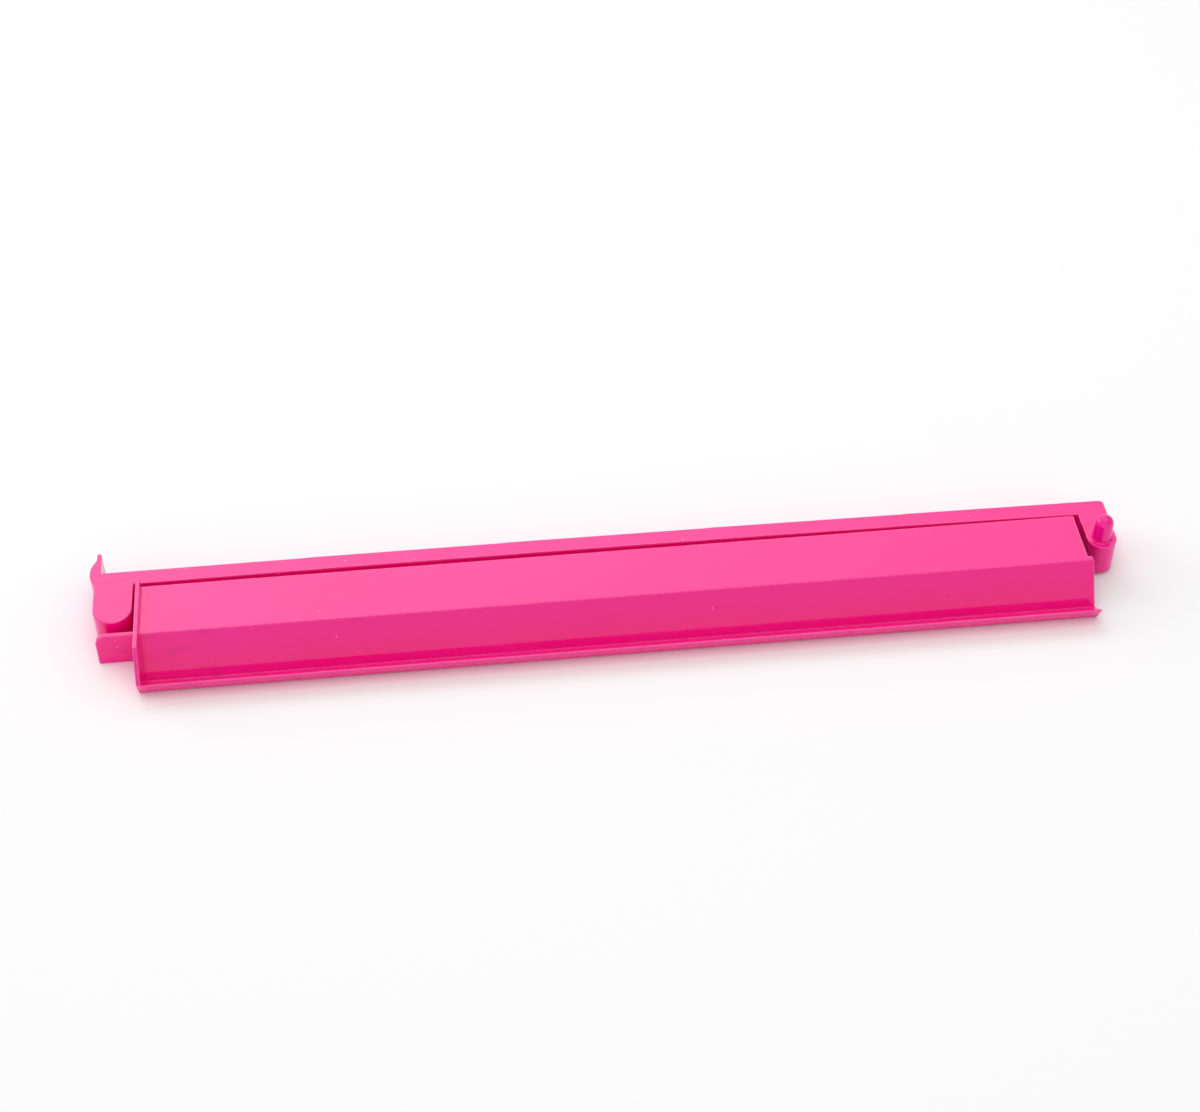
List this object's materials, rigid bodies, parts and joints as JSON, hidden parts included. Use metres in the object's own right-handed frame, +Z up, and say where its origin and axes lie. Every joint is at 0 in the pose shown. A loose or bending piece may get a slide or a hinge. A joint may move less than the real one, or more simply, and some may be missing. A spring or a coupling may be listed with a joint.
{
  "type": "sectioning clip",
  "caption": "Long glossy plastic hair sectioning clip: a jaw bar with a V gutter and a hinged clamp arm that hooks round its free end beside a finger peg.",
  "frame": {"origin": "middle of the closed clip's footprint, on the surface it lies on", "axes": "+X along the clip from the hinge end to the hook end, +Y from the gutter at the front to the clamp arm at the back, +Z up"},
  "size_m": [0.2184, 0.0362, 0.0143],
  "materials": {
    "pink_plastic": "polished, pigmented through"
  },
  "bodies": {
    "jaw": {"jaw_bar": "pink_plastic"},
    "arm": {"clamp_arm": "pink_plastic"}
  },
  "joints": [
    {"name": "arm_hinge", "type": "hinge", "parent": "jaw", "child": "arm", "pos_m": [-0.10378, -0.00055, 0], "axis": [0, 0, 1], "range_deg": [0, 90]}
  ]
}
